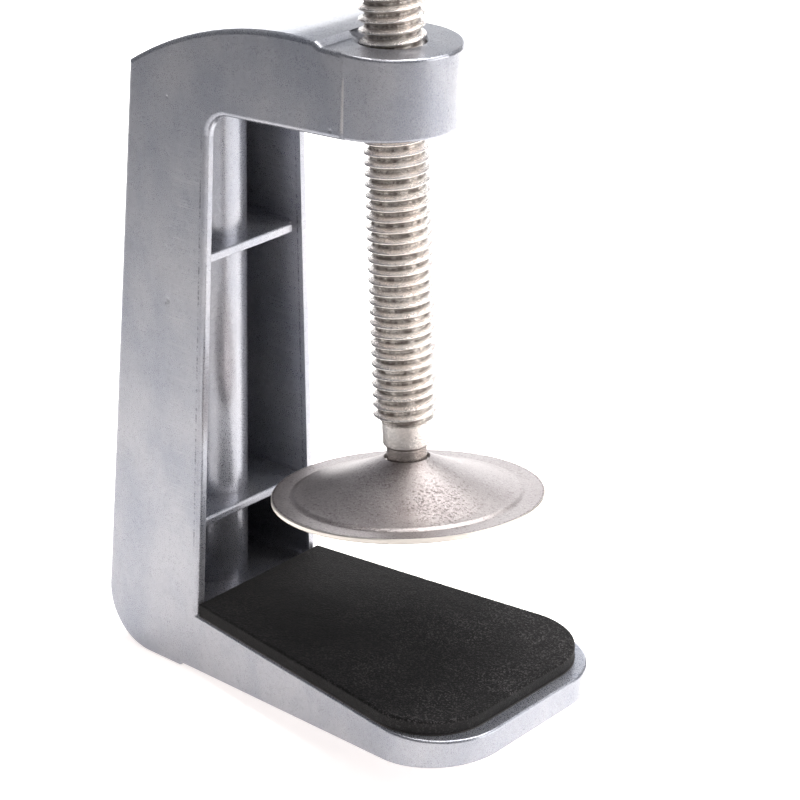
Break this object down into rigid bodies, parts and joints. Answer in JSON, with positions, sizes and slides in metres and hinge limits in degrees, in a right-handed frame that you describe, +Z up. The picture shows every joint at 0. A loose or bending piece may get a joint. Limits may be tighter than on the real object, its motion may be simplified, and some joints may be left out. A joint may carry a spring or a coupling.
{
  "type": "screw clamp of an airbrush holder stand",
  "caption": "Die-cast bench clamp that holds an airbrush stand's post: hollow C frame with a post socket, leaning clamp screw with T bar, loose steel disc and foam-lined jaw.",
  "frame": {"origin": "centre of the post socket's mouth, on the foot face that the frame stands on", "axes": "+Z up along the post socket, +X from the spine to the jaw's tip, -Y the near side of the picture"},
  "size_m": [0.076, 0.0588, 0.1392],
  "materials": {
    "cast_alloy": "satin metallic silver-grey, fine grain, file marks on the flash lines",
    "plated_screw": "worn zinc-nickel plating with dark grime in the thread roots",
    "plated_bar": "drawn and plated",
    "black_vinyl": "dipped vinyl, satin",
    "stamped_steel": "satin, fine grain, orange-peel patch",
    "black_foam": "closed-cell foam, matt, fine cells",
    "tape_film": "double-sided tape",
    "white_nylon": "moulded, waxy",
    "black_oxide_steel": "black oxide, light oil"
  },
  "bodies": {
    "frame": {"clamp_frame": "cast_alloy", "foam_pad": "black_foam", "pad_film": "tape_film"},
    "washer": {"disc_washer": "stamped_steel"},
    "screw": {"clamp_screw": "plated_screw"},
    "bar": {"tommy_bar": "plated_bar", "bar_cap_near": "black_vinyl", "bar_cap_far": "black_vinyl"},
    "disc": {"pressure_disc": "stamped_steel"},
    "shoe": {"lock_shoe": "white_nylon"},
    "lock": {"lock_screw": "black_oxide_steel"}
  },
  "joints": [
    {"name": "screw_travel", "type": "slide", "parent": "frame", "child": "washer", "axis": [-0.0685, 0, 0.9976], "range_m": [-0.0202, 0.045]},
    {"name": "screw_turn", "type": "hinge", "parent": "washer", "child": "screw", "pos_m": [0.04317, 0, 0], "axis": [-0.0685, 0, 0.9976], "range_deg": [-4582, 10206]},
    {"name": "disc_swivel", "type": "hinge", "parent": "washer", "child": "disc", "pos_m": [0.04029, 0, 0.04195], "axis": [-0.7961, -0.6051, 0], "range_deg": [-8.8, 0]},
    {"name": "bar_slide", "type": "slide", "parent": "screw", "child": "bar", "axis": [0, 1, 0], "range_m": [-0.0165, 0.0165]},
    {"name": "lock_press", "type": "slide", "parent": "frame", "child": "shoe", "axis": [1, 0, 0], "range_m": [0, 0.0012]},
    {"name": "lock_turn", "type": "hinge", "parent": "shoe", "child": "lock", "pos_m": [-0.008, 0, 0.055], "axis": [1, 0, 0], "range_deg": [0, 541]}
  ],
  "couplings": [
    {"joint": "screw_turn", "follows": "screw_travel", "rad_per_m": 3957.9},
    {"joint": "lock_turn", "follows": "lock_press", "rad_per_m": 7854}
  ]
}
